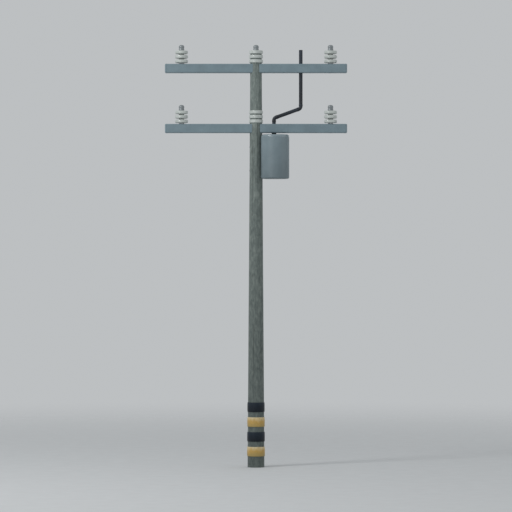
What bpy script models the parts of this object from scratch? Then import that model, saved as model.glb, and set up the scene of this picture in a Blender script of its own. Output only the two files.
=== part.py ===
"""A wooden utility pole with two steel crossarms, glazed insulators, a transformer and its riser.

Metres, +Z up. The origin is the centre of the pole's flat butt. The crossarms run along X, the
transformer hangs on the +X side and the front faces -Y. Each object is one closed solid.
"""

import math

import bmesh
import bpy
from mathutils import Matrix, Vector

# The pole: a straight taper from butt to top.
POLE_TOP = 8.310
POLE_BUTT_RADIUS = 0.169
POLE_TOP_RADIUS = 0.1135

# Marker sleeves round the foot of the pole, from the lowest upwards.
SLEEVE_BOTTOM = 0.220
SLEEVE_PITCH = 0.295
SLEEVE_HEIGHT = 0.190
SLEEVE_THICKNESS = 0.011
SLEEVE_ROUNDING = 0.006
SLEEVE_NAMES = ("yellow_low", "black_low", "yellow_high", "black_high")

# Crossarms: hollow steel beams in two halves, with coped inner ends that hug the pole.
ARM_REACH = 1.820
ARM_DEPTH = 0.200
ARM_HEIGHT = 0.180
ARM_WALL = 0.006
ARM_CORNER = 0.022
ARM_CAP = 0.032
ARM_CAP_ROUNDING = 0.020
ARM_COPE_GAP = 0.003
ARM_BOTTOMS = {"upper": 7.880, "lower": 6.680}

# Post insulators, and the collars of the same shape that sit round the pole itself.
INSULATOR_X = 1.490
SHED_RADIUS = 0.130
SHED_THICKNESS = 0.066
SHED_PITCH = 0.090
SHED_COUNT = 3
SHED_ROUNDING = 0.024
CORE_RADIUS = 0.050
BASE_HEIGHT = 0.022
BASE_RADIUS = 0.056
KNOB_HEIGHT = 0.112
KNOB_RADIUS = 0.055
KNOB_ROUNDING = 0.042
COLLAR_RADIUS = 0.139
COLLAR_ROUNDING = 0.010

# The transformer can, a little in front of the arms so that it clears the pole.
TANK_RADIUS = 0.280
TANK_CENTRE = (0.382, -0.180)
TANK_BOTTOM = 5.760
TANK_TOP = 6.584
TANK_ROUNDING = 0.030
LID_TOP = 6.640
LID_ROUNDING = 0.040
HANGER_WIDTH = 0.056
HANGER_HEIGHT = 0.090
HANGER_LEVELS = {"lower": 5.930, "upper": 6.400}

# The riser: a pipe from the transformer's lid, through both right-hand arms, to an open height.
RISER_RADIUS = 0.0365
RISER_FOOT_X = 0.360
RISER_HEAD_X = 0.895
RISER_LOW_CORNER = 6.978
RISER_HIGH_CORNER = 7.172
RISER_TOP = 8.340
RISER_BEND = 0.060
RISER_STUB = 0.020
RISER_CAP = 0.018
RISER_CAP_ROUNDING = 0.008
RISER_HOLE = 0.0425
BUSHING_RADIUS = 0.047
BUSHING_HEIGHT = 0.038
BUSHING_CHAMFER = 0.006

GAP = 0.0003
SLIDE_GAP = 0.0015
CUT_OVERRUN = 0.05
WIDE_SIDES = 48
SIDES = 32
SMALL_SIDES = 24
ROUND_STEPS = 3
BEND_STEPS = 8

for old in list(bpy.data.objects):
    bpy.data.objects.remove(old, do_unlink=True)

PARTS = bpy.data.collections.new("utility_pole")
CUTTERS = bpy.data.collections.new("cutters")
bpy.context.scene.collection.children.link(PARTS)
bpy.context.scene.collection.children.link(CUTTERS)


def linear(hex_colour):
    """The linear RGBA of an sRGB hex colour."""
    channels = [int(hex_colour[i : i + 2], 16) / 255 for i in (1, 3, 5)]
    return [c / 12.92 if c <= 0.04045 else ((c + 0.055) / 1.055) ** 2.4 for c in channels] + [1]


def material(name, hex_colour, roughness, metallic=0.0):
    made = bpy.data.materials.new(name)
    made.use_nodes = True
    shader = made.node_tree.nodes["Principled BSDF"]
    shader.inputs["Base Color"].default_value = linear(hex_colour)
    shader.inputs["Roughness"].default_value = roughness
    shader.inputs["Metallic"].default_value = metallic
    return made


WOOD = material("weathered_wood", "#646B69", 0.85)
ARM_PAINT = material("arm_paint", "#6A7D84", 0.45)
TANK_PAINT = material("tank_paint", "#6C787D", 0.45)
PORCELAIN = material("glazed_porcelain", "#B4BAB6", 0.25)
ZINC = material("galvanised_steel", "#7A7F82", 0.55, 0.8)
YELLOW = material("yellow_plastic", "#A88D5C", 0.45)
BLACK = material("black_plastic", "#232B33", 0.45)
RISER_GREY = material("riser_plastic", "#2A2D32", 0.45)


def pole_radius(z):
    return POLE_BUTT_RADIUS + (POLE_TOP_RADIUS - POLE_BUTT_RADIUS) * z / POLE_TOP


def arm_top(level):
    return ARM_BOTTOMS[level] + ARM_HEIGHT


def add(name, mesh, finish, location=(0, 0, 0), smooth=True):
    """Places a mesh as a named part."""
    part = bpy.data.objects.new(name, mesh)
    part.location = location
    mesh.materials.append(finish)
    if smooth:
        mesh.shade_smooth()
        mesh.set_sharp_from_angle(angle=math.radians(35))
    PARTS.objects.link(part)
    return part


def cutter(name, mesh, location=(0, 0, 0)):
    tool = bpy.data.objects.new(name, mesh)
    tool.location = location
    tool.hide_render = True
    tool.display_type = "WIRE"
    CUTTERS.objects.link(tool)
    return tool


def cut(part, tool):
    trim = part.modifiers.new(tool.name, "BOOLEAN")
    trim.operation = "DIFFERENCE"
    trim.object = tool


def mesh_of(name, shape):
    mesh = bpy.data.meshes.new(name)
    shape.to_mesh(mesh)
    shape.free()
    return mesh


def frustum(name, low_radius, high_radius, low, high, sides=SIDES):
    """A capped cone or cylinder about Z, from height low to height high."""
    shape = bmesh.new()
    bmesh.ops.create_cone(
        shape,
        cap_ends=True,
        segments=sides,
        radius1=low_radius,
        radius2=high_radius,
        depth=high - low,
        matrix=Matrix.Translation((0, 0, (low + high) / 2)),
    )
    return mesh_of(name, shape)


def box(name, size, corner=0.0, rim=0.0):
    """A box about the origin. Its edges along X are rounded by corner, and its +X face by rim."""
    shape = bmesh.new()
    bmesh.ops.create_cube(shape, size=1)
    bmesh.ops.scale(shape, vec=size, verts=shape.verts)
    if corner:
        along = [e for e in shape.edges if abs(e.verts[0].co.x - e.verts[1].co.x) > size[0] / 2]
        bmesh.ops.bevel(
            shape, geom=along, offset=corner, segments=ROUND_STEPS + 1, profile=0.5, affect="EDGES"
        )
    if rim:
        tip = max(shape.faces, key=lambda face: face.calc_center_median().x)
        bmesh.ops.bevel(
            shape, geom=list(tip.edges), offset=rim, segments=ROUND_STEPS, profile=0.5, affect="EDGES"
        )
    return mesh_of(name, shape)


def turned(name, profile, finish, location=(0, 0, 0), sides=SIDES, ring=False):
    """Turns (radius, height) points about Z. They run down the outside, and up the bore of a ring."""
    mesh = bpy.data.meshes.new(name)
    links = [(i, i + 1) for i in range(len(profile) - 1)]
    if ring:
        links.append((len(profile) - 1, 0))
    mesh.from_pydata([(radius, 0, height) for radius, height in profile], links, [])
    part = add(name, mesh, finish, location, smooth=False)
    spin = part.modifiers.new("turn", "SCREW")
    spin.steps = sides
    spin.render_steps = sides
    spin.use_merge_vertices = True
    spin.merge_threshold = 0.0001
    spin.use_smooth_shade = True
    return part


def quarter(centre, radius, start, steps=ROUND_STEPS):
    """Points of a quarter circle that turns clockwise from the start angle, in degrees."""
    angles = [math.radians(start - 90 * i / steps) for i in range(steps + 1)]
    return [(centre[0] + radius * math.cos(a), centre[1] + radius * math.sin(a)) for a in angles]


def rounded_rim(radius, top, bottom, rounding, steps=ROUND_STEPS):
    """The outer edge of a disc, from its top face round to its underside."""
    high = quarter((radius - rounding, top - rounding), rounding, 90, steps)
    low = quarter((radius - rounding, bottom + rounding), rounding, 0, steps)
    return high + low


def tube(name, points, radius, finish):
    """A round bar along the points."""
    route = bpy.data.curves.new(name, "CURVE")
    route.dimensions = "3D"
    route.bevel_depth = radius
    route.bevel_resolution = SMALL_SIDES // 2 - 2
    route.use_fill_caps = True
    spline = route.splines.new("POLY")
    spline.points.add(len(points) - 1)
    for target, point in zip(spline.points, points):
        target.co = (*point, 1)
    route.materials.append(finish)
    part = bpy.data.objects.new(name, route)
    PARTS.objects.link(part)
    return part


def make_pole():
    mesh = frustum("pole_shaft", POLE_BUTT_RADIUS, POLE_TOP_RADIUS, 0, POLE_TOP, WIDE_SIDES)
    add("pole_shaft", mesh, WOOD)


def make_sleeves():
    for i, name in enumerate(SLEEVE_NAMES):
        bottom = SLEEVE_BOTTOM + i * SLEEVE_PITCH
        top = bottom + SLEEVE_HEIGHT
        bore_low = pole_radius(bottom) + SLIDE_GAP
        bore_high = pole_radius(top) + SLIDE_GAP
        outside = rounded_rim(bore_low + SLEEVE_THICKNESS, top, bottom, SLEEVE_ROUNDING, 2)
        bore = [(bore_low, bottom), (bore_high, top)]
        finish = YELLOW if name.startswith("yellow") else BLACK
        turned("foot_sleeve_" + name, outside + bore, finish, ring=True)


def make_arm(level, side):
    """Half an arm: a hollow beam, trimmed to the pole, with a separate plate over its outer end."""
    sign = 1 if side == "right" else -1
    middle = ARM_BOTTOMS[level] + ARM_HEIGHT / 2
    length = ARM_REACH - ARM_CAP - GAP
    name = level + "_arm_" + side
    mesh = box(name, (length, ARM_DEPTH, ARM_HEIGHT), ARM_CORNER)
    arm = add(name, mesh, ARM_PAINT, (sign * length / 2, 0, middle))

    hollow_size = (length + CUT_OVERRUN, ARM_DEPTH - 2 * ARM_WALL, ARM_HEIGHT - 2 * ARM_WALL)
    hollow = box(name + "_hollow", hollow_size, ARM_CORNER - ARM_WALL)
    cut(arm, cutter(name + "_hollow", hollow, arm.location))

    low = ARM_BOTTOMS[level] - CUT_OVERRUN
    high = arm_top(level) + CUT_OVERRUN
    wide = pole_radius(low) + ARM_COPE_GAP
    narrow = pole_radius(high) + ARM_COPE_GAP
    cope = frustum(name + "_cope", wide, narrow, low, high, WIDE_SIDES)
    cut(arm, cutter(name + "_cope", cope))

    if side == "right":
        hole_x = RISER_FOOT_X if level == "lower" else RISER_HEAD_X
        hole = frustum(name + "_hole", RISER_HOLE, RISER_HOLE, low, high, SMALL_SIDES)
        cut(arm, cutter(name + "_hole", hole, (hole_x, 0, 0)))

    plate = box(name + "_cap", (ARM_CAP, ARM_DEPTH, ARM_HEIGHT), ARM_CORNER, ARM_CAP_ROUNDING)
    cap = add(name + "_cap", plate, ARM_PAINT, (sign * (ARM_REACH - ARM_CAP / 2), 0, middle))
    cap.rotation_euler.z = 0 if side == "right" else math.pi


def sheds(radius):
    """The outer profile of one insulator, down its stacked discs and the core between them."""
    points = []
    for i in reversed(range(SHED_COUNT)):
        bottom = i * SHED_PITCH
        top = bottom + SHED_THICKNESS
        points.append((CORE_RADIUS, top))
        points += rounded_rim(radius, top, bottom, SHED_ROUNDING, 2)
        points.append((CORE_RADIUS, bottom))
    points[0] = (0, points[0][1])
    points[-1] = (0, points[-1][1])
    return points


def make_knob(name, x, bottom):
    top = bottom + KNOB_HEIGHT
    rim = quarter((KNOB_RADIUS - KNOB_ROUNDING, top - KNOB_ROUNDING), KNOB_ROUNDING, 90, 4)
    profile = [(0, top)] + rim + [(KNOB_RADIUS, bottom), (0, bottom)]
    turned(name, profile, ZINC, (x, 0, 0), SMALL_SIDES)


def make_insulator(level, side):
    x = INSULATOR_X if side == "right" else -INSULATOR_X
    name = level + "_" + side
    foot = arm_top(level)
    base = [(0, foot + BASE_HEIGHT), (CORE_RADIUS, foot + BASE_HEIGHT)]
    base += [(BASE_RADIUS, foot + BASE_HEIGHT / 2), (BASE_RADIUS, foot + GAP), (0, foot + GAP)]
    turned("insulator_base_" + name, base, ZINC, (x, 0, 0), SMALL_SIDES)

    body_bottom = foot + BASE_HEIGHT + GAP
    turned("insulator_" + name, sheds(SHED_RADIUS), PORCELAIN, (x, 0, body_bottom), SMALL_SIDES)

    body_top = body_bottom + (SHED_COUNT - 1) * SHED_PITCH + SHED_THICKNESS
    make_knob("insulator_knob_" + name, x, body_top + GAP)


def make_collars(level):
    """Discs threaded on the pole itself. On the upper arm the last one covers the pole's top."""
    for i in range(SHED_COUNT):
        bottom = arm_top(level) + BASE_HEIGHT + GAP + i * SHED_PITCH
        top = bottom + SHED_THICKNESS
        rim = rounded_rim(COLLAR_RADIUS, top, bottom, COLLAR_ROUNDING, 2)
        bore = pole_radius(bottom) + SLIDE_GAP
        if level == "upper" and i == SHED_COUNT - 1:
            ceiling = POLE_TOP + GAP
            inside = [(bore, bottom), (bore, ceiling), (0, ceiling)]
            turned("pole_cap_disc", [(0, top)] + rim + inside, PORCELAIN)
            make_knob("pole_top_knob", 0, top + GAP)
        else:
            inside = [(bore, bottom), (bore, top)]
            turned(f"{level}_collar_{i + 1}", rim + inside, PORCELAIN, ring=True)


def make_transformer():
    place = (*TANK_CENTRE, 0)
    low_edge = quarter((TANK_RADIUS - TANK_ROUNDING, TANK_BOTTOM + TANK_ROUNDING), TANK_ROUNDING, 0)
    tank = [(0, TANK_TOP), (TANK_RADIUS, TANK_TOP)] + low_edge + [(0, TANK_BOTTOM)]
    turned("transformer_tank", tank, TANK_PAINT, place, WIDE_SIDES)

    lid_edge = quarter((TANK_RADIUS - LID_ROUNDING, LID_TOP - LID_ROUNDING), LID_ROUNDING, 90, 4)
    lid = [(0, LID_TOP)] + lid_edge + [(TANK_RADIUS, TANK_TOP + GAP), (0, TANK_TOP + GAP)]
    turned("transformer_lid", lid, TANK_PAINT, place, WIDE_SIDES)

    foot = LID_TOP + GAP
    top = foot + BUSHING_HEIGHT
    bore = RISER_RADIUS + SLIDE_GAP
    shoulder = BUSHING_RADIUS - BUSHING_CHAMFER
    bushing = [(shoulder, top), (BUSHING_RADIUS, top - BUSHING_CHAMFER), (BUSHING_RADIUS, foot)]
    bushing += [(bore, foot), (bore, top)]
    turned("riser_bushing", bushing, BLACK, (RISER_FOOT_X, 0, 0), SMALL_SIDES, ring=True)


def make_hangers():
    """Saddle brackets between the pole and the can, hollowed to fit both."""
    reach = Vector(TANK_CENTRE).length
    angle = math.atan2(TANK_CENTRE[1], TANK_CENTRE[0])
    for level, height in HANGER_LEVELS.items():
        name = "transformer_hanger_" + level
        middle = (TANK_CENTRE[0] / 2, TANK_CENTRE[1] / 2, height)
        bracket = add(name, box(name, (reach, HANGER_WIDTH, HANGER_HEIGHT)), ZINC, middle)
        bracket.rotation_euler.z = angle
        low = height - HANGER_HEIGHT
        high = height + HANGER_HEIGHT
        wide = pole_radius(low) + GAP
        narrow = pole_radius(high) + GAP
        pole = frustum(name + "_pole", wide, narrow, low, high, WIDE_SIDES)
        cut(bracket, cutter(name + "_pole", pole))
        can = frustum(name + "_can", TANK_RADIUS + GAP, TANK_RADIUS + GAP, low, high, WIDE_SIDES)
        cut(bracket, cutter(name + "_can", can, (*TANK_CENTRE, 0)))


def elbow(name, corner, way_in, way_out):
    """A bend between two directions. Returns the points where straight pipe meets it."""
    turn = way_in.angle(way_out)
    set_back = RISER_BEND * math.tan(turn / 2)
    start = corner - way_in * set_back
    inward = (way_out - way_in * way_in.dot(way_out)).normalized()
    centre = start + inward * RISER_BEND
    points = [start - way_in * RISER_STUB]
    for i in range(BEND_STEPS + 1):
        a = turn * i / BEND_STEPS
        points.append(centre + RISER_BEND * (way_in * math.sin(a) - inward * math.cos(a)))
    points.append(points[-1] + way_out * RISER_STUB)
    tube(name, points, RISER_RADIUS, RISER_GREY)
    return points[0] - way_in * GAP, points[-1] + way_out * GAP


def make_riser():
    up = Vector((0, 0, 1))
    foot = Vector((RISER_FOOT_X, 0, LID_TOP + GAP))
    low_corner = Vector((RISER_FOOT_X, 0, RISER_LOW_CORNER))
    high_corner = Vector((RISER_HEAD_X, 0, RISER_HIGH_CORNER))
    head = Vector((RISER_HEAD_X, 0, RISER_TOP - RISER_CAP))
    slant = (high_corner - low_corner).normalized()
    low_in, low_out = elbow("riser_elbow_low", low_corner, up, slant)
    high_in, high_out = elbow("riser_elbow_high", high_corner, slant, up)
    tube("riser_lower_run", [foot, low_in], RISER_RADIUS, RISER_GREY)
    tube("riser_slanted_run", [low_out, high_in], RISER_RADIUS, RISER_GREY)
    tube("riser_upper_run", [high_out, head], RISER_RADIUS, RISER_GREY)
    edge = (RISER_RADIUS - RISER_CAP_ROUNDING, RISER_TOP - RISER_CAP_ROUNDING)
    rim = quarter(edge, RISER_CAP_ROUNDING, 90)
    plug_foot = RISER_TOP - RISER_CAP + GAP
    cap = [(0, RISER_TOP)] + rim + [(RISER_RADIUS, plug_foot), (0, plug_foot)]
    turned("riser_cap", cap, RISER_GREY, (RISER_HEAD_X, 0, 0), SMALL_SIDES)


make_pole()
make_sleeves()
for arm_level in ARM_BOTTOMS:
    for arm_side in ("left", "right"):
        make_arm(arm_level, arm_side)
        make_insulator(arm_level, arm_side)
    make_collars(arm_level)
make_transformer()
make_hangers()
make_riser()
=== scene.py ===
"""The looks of a wooden utility pole: its surfaces, fastenings and studio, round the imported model.

Metres, +Z up, the pole's axis at X = Y = 0 and the front facing -Y. Places and sizes come from the
boxes of the model's nodes. Materials read object coordinates, which are the model's own metres.
"""

import math
import random

import bmesh
import bpy
from mathutils import Matrix, Vector, noise


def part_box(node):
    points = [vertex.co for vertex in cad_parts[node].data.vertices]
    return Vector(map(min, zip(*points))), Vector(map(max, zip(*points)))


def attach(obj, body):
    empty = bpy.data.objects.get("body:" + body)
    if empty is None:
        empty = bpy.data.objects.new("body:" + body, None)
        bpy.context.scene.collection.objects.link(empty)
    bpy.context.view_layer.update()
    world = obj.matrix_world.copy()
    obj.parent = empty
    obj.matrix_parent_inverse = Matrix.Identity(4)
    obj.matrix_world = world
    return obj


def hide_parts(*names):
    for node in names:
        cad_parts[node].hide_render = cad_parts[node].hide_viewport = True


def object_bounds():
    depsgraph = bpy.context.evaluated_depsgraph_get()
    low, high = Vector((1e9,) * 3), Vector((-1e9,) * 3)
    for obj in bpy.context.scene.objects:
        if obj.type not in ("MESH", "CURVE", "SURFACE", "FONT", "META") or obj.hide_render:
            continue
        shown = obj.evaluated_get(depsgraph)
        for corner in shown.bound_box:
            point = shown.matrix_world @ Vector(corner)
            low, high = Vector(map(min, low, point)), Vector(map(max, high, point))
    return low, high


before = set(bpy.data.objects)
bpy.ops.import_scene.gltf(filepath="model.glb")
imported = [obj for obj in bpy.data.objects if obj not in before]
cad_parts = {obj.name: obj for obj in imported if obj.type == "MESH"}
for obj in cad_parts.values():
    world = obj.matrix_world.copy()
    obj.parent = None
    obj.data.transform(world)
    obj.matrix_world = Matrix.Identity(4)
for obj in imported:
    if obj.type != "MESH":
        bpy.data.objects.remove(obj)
CAD_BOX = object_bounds()

SIDES = {"left": -1, "right": 1}
LEVELS = ("upper", "lower")
UP = Vector((0, 0, 1))
BACK = Vector((0, 1, 0))
# Small distances: a slip fit, a foot just sunk into its neighbour, one sunk deeper into a round
# wall, a bevelled edge and what counts as the same height.
SLIP = 0.0014
SINK = 0.0005
DEEP_SINK = 0.001
BEVEL = 0.001
NEAR = 0.001

# ------------------------ materials


def linear(hex_colour):
    """The linear RGBA of an sRGB hex colour."""
    channels = [int(hex_colour[i : i + 2], 16) / 255 for i in (1, 3, 5)]
    return [c / 12.92 if c <= 0.04045 else ((c + 0.055) / 1.055) ** 2.4 for c in channels] + [1]


def wire(tree, node, inputs):
    """Sets a node's inputs to numbers, hex colours, sockets or other nodes' first outputs."""
    for key, value in inputs.items():
        named = [s for s in node.inputs if s.name == key and s.enabled]
        socket = named[0] if named else node.inputs[key]
        if isinstance(value, bpy.types.Node):
            value = next(s for s in value.outputs if s.enabled)
        if isinstance(value, bpy.types.NodeSocket):
            tree.links.new(value, socket)
        else:
            socket.default_value = linear(value) if isinstance(value, str) else value


def add(tree, kind, inputs=None, stops=(), **settings):
    """Adds a node with its settings, its inputs and, on a ramp, its (position, tone) stops."""
    node = tree.nodes.new("ShaderNode" + kind)
    for key, value in settings.items():
        setattr(node, key, value)
    for i, (position, tone) in enumerate(stops):
        ramp = node.color_ramp.elements
        stop = ramp[i] if i < 2 else ramp.new(position)
        stop.position = position
        stop.color = linear(tone) if isinstance(tone, str) else (tone, tone, tone, 1)
    wire(tree, node, inputs or {})
    return node


def new_material(name):
    """A material, its node tree and the position on the object in metres."""
    made = bpy.data.materials.new(name)
    made.use_nodes = True
    place = add(made.node_tree, "TexCoord").outputs["Object"]
    return made, made.node_tree, place


def surfaced(made, colour, rough, bump, more):
    """Gives the material's shader its colour, roughness, relief and what else it needs."""
    inputs = {"Base Color": colour, "Roughness": rough, "Normal": bump, **more}
    wire(made.node_tree, made.node_tree.nodes["Principled BSDF"], inputs)
    return made


def painted_light_by_height(tree, colour, foot, top):
    """Paints light and shade: the colour, darkened or lightened step by step from a piece's foot to its
    top.
    """
    rise = add(tree, "Attribute", attribute_name="rise").outputs["Fac"]
    fade = add(tree, "MapRange", {"Value": rise, "To Min": foot, "To Max": top})
    fade = add(tree, "CombineXYZ", {"X": fade, "Y": fade, "Z": fade})
    tone = {"Factor": 1.0, "A": colour, "B": fade}
    return add(tree, "Mix", tone, data_type="RGBA", blend_type="MULTIPLY")


def weathered_pine():
    """Pine log, debarked and left unpainted for decades.

    It gives the eye a silver-grey skin, mottled where rain ran, with faint grain along the pole,
    brown knots, near-black drying checks, and painted light and shade from a pale top to a dark foot.
    """
    made, tree, place = new_material("weathered_pine")
    # Rain and sun bleach patches about 50 mm wide and 120 mm tall.
    tall = add(tree, "Mapping", {"Vector": place, "Scale": (1, 1, 0.42)})
    patch = {"Vector": tall, "Scale": 20.0, "Detail": 5.0, "Roughness": 0.62, "Distortion": 0.5}
    patches = add(tree, "TexNoise", patch)
    # Grain is 1 to 3 mm wide in pine. It is drawn 14 mm wide, so that it shows on a whole pole.
    drawn = add(tree, "Mapping", {"Vector": place, "Scale": (1, 1, 0.03)})
    grain = add(tree, "TexNoise", {"Vector": drawn, "Scale": 72.0, "Detail": 4.0, "Roughness": 0.7})
    fibres = add(tree, "TexNoise", {"Vector": drawn, "Scale": 420.0, "Detail": 3.0})
    share = add(tree, "Math", {0: patches, 1: 0.6}, operation="MULTIPLY")
    mottle = add(tree, "Math", {0: grain, 1: 0.4, 2: share}, operation="MULTIPLY_ADD")
    greys = [(0.36, "#59625F"), (0.46, "#69726F"), (0.54, "#757E7A"), (0.64, "#878F8A")]
    colour = add(tree, "ValToRGB", {"Fac": mottle}, greys)
    # Painted light and shade: the colour is lightened towards the top and darkened towards the foot,
    # where the light falls off.
    colour = painted_light_by_height(tree, colour, 0.66, 1.13)
    knot = add(tree, "Attribute", attribute_name="knot").outputs["Fac"]
    colour = add(tree, "Mix", {"Factor": knot, "A": colour, "B": "#4A4742"}, data_type="RGBA")
    check = add(tree, "Attribute", attribute_name="check").outputs["Fac"]
    colour = add(tree, "Mix", {"Factor": check, "A": colour, "B": "#2C302F"}, data_type="RGBA")
    rough = add(tree, "MapRange", {"Value": grain, "To Min": 0.75, "To Max": 0.95})
    relief = add(tree, "Math", {0: fibres, 1: 0.4, 2: grain}, operation="MULTIPLY_ADD")
    bump = add(tree, "Bump", {"Strength": 0.5, "Distance": 0.004, "Height": relief})
    sheen = {"Specular IOR Level": 0.3, "Sheen Weight": 0.3, "Sheen Roughness": 0.35}
    return surfaced(made, colour, rough, bump, sheen)


def coated_steel(name, tones, runs_tone, roughness, gloss=0.1, height_light=(1.0, 1.0)):
    """Steel with a sprayed alkyd enamel, chalked by the weather.

    It gives the eye a satin blue-grey with faint runs of dirt, small chips down to the zinc and an
    orange-peel skin. A pair of values, for its foot and its top, paints light and shade on it by
    height.
    """
    made, tree, place = new_material(name)
    cloud = {"Vector": place, "Scale": 4.0, "Detail": 5.0, "Roughness": 0.6, "Distortion": 0.3}
    clouds = add(tree, "TexNoise", cloud)
    colour = add(tree, "ValToRGB", {"Fac": clouds}, list(zip((0.35, 0.5, 0.66), tones)))
    # Rain leaves runs about 15 mm wide and a hand or more long.
    drawn = add(tree, "Mapping", {"Vector": place, "Scale": (1, 1, 0.06)})
    runs = add(tree, "TexNoise", {"Vector": drawn, "Scale": 64.0, "Detail": 3.0})
    runs = add(tree, "ValToRGB", {"Fac": runs}, [(0.52, 0.0), (0.76, 0.26)])
    colour = add(tree, "Mix", {"Factor": runs, "A": colour, "B": runs_tone}, data_type="RGBA")
    # Chips are a few millimetres across.
    chips = add(tree, "TexNoise", {"Vector": place, "Scale": 150.0, "Detail": 2.0})
    chips = add(tree, "ValToRGB", {"Fac": chips}, [(0.72, 0.0), (0.76, 0.5)])
    colour = add(tree, "Mix", {"Factor": chips, "A": colour, "B": "#8A9293"}, data_type="RGBA")
    colour = painted_light_by_height(tree, colour, *height_light)
    low = roughness - 0.08
    rough = add(tree, "MapRange", {"Value": clouds, "To Min": low, "To Max": roughness + 0.12})
    # Orange peel is 2 to 4 mm from crest to crest.
    peel = add(tree, "TexNoise", {"Vector": place, "Scale": 300.0, "Detail": 2.0})
    bump = add(tree, "Bump", {"Strength": 0.12, "Distance": 0.001, "Height": peel})
    return surfaced(made, colour, rough, bump, {"Coat Weight": gloss, "Coat Roughness": 0.22})


def glazed_porcelain():
    """Electrical porcelain under a clear grey-white glaze, fired.

    It gives the eye a pale, glossy body, a little uneven in tone, with painted shade that greys it
    between the discs and a rougher glaze there.
    """
    made, tree, place = new_material("glazed_porcelain")
    cloud = {"Vector": place, "Scale": 16.0, "Detail": 4.0, "Roughness": 0.6, "Distortion": 0.5}
    tones = [(0.35, "#AFB5B1"), (0.52, "#BAC0BC"), (0.68, "#C5CAC6")]
    colour = add(tree, "ValToRGB", {"Fac": add(tree, "TexNoise", cloud)}, tones)
    # Painted shade: the colour greys towards the core between the discs, in ragged patches, and the
    # glaze is rougher there.
    gap_shade = add(tree, "Attribute", attribute_name="gap_shade").outputs["Fac"]
    drawn = add(tree, "Mapping", {"Vector": place, "Scale": (1, 1, 0.4)})
    ragged = add(tree, "TexNoise", {"Vector": drawn, "Scale": 60.0, "Detail": 3.0})
    gap_shade = add(tree, "Math", {0: gap_shade, 1: ragged}, operation="MULTIPLY", use_clamp=True)
    colour = add(tree, "Mix", {"Factor": gap_shade, "A": colour, "B": "#AEB4B1"}, data_type="RGBA")
    # Pinholes in the glaze, about 2 mm across, hold dark specks.
    specks = add(tree, "TexVoronoi", {"Vector": place, "Scale": 55.0}).outputs["Distance"]
    specks = add(tree, "ValToRGB", {"Fac": specks}, [(0.05, 0.5), (0.1, 0.0)])
    colour = add(tree, "Mix", {"Factor": specks, "A": colour, "B": "#7D7F7A"}, data_type="RGBA")
    rough = add(tree, "MapRange", {"Value": gap_shade, "To Min": 0.28, "To Max": 0.7})
    waves = add(tree, "TexNoise", {"Vector": place, "Scale": 45.0, "Detail": 1.0})
    bump = add(tree, "Bump", {"Strength": 0.08, "Distance": 0.002, "Height": waves})
    glaze = {"IOR": 1.5, "Coat Weight": 0.4, "Coat Roughness": 0.12}
    return surfaced(made, colour, rough, bump, glaze)


def galvanised_steel(name, tones, roughness=0.5):
    """Steel castings and bolts, hot-dip galvanised and dulled outdoors.

    It gives the eye a dull grey with a soft patchwork of spangle and a touch of rust.
    """
    made, tree, place = new_material(name)
    # Spangle grains of 12 mm.
    spangle = add(tree, "TexVoronoi", {"Vector": place, "Scale": 85.0}).outputs["Color"]
    grey = add(tree, "SeparateColor", {"Color": spangle})
    colour = add(tree, "ValToRGB", {"Fac": grey}, list(zip((0.0, 0.55, 1.0), tones)))
    bloom = {"Vector": place, "Scale": 34.0, "Detail": 6.0, "Roughness": 0.7, "Distortion": 0.8}
    rust = add(tree, "ValToRGB", {"Fac": add(tree, "TexNoise", bloom)}, [(0.6, 0.0), (0.74, 0.7)])
    colour = add(tree, "Mix", {"Factor": rust, "A": colour, "B": "#675A50"}, data_type="RGBA")
    spread = {"Value": grey, "To Min": roughness, "To Max": roughness + 0.14}
    rough = add(tree, "MapRange", spread)
    pits = add(tree, "TexNoise", {"Vector": place, "Scale": 420.0, "Detail": 3.0})
    bump = add(tree, "Bump", {"Strength": 0.25, "Distance": 0.0008, "Height": pits})
    return surfaced(made, colour, rough, bump, {"Metallic": 0.25})


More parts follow.
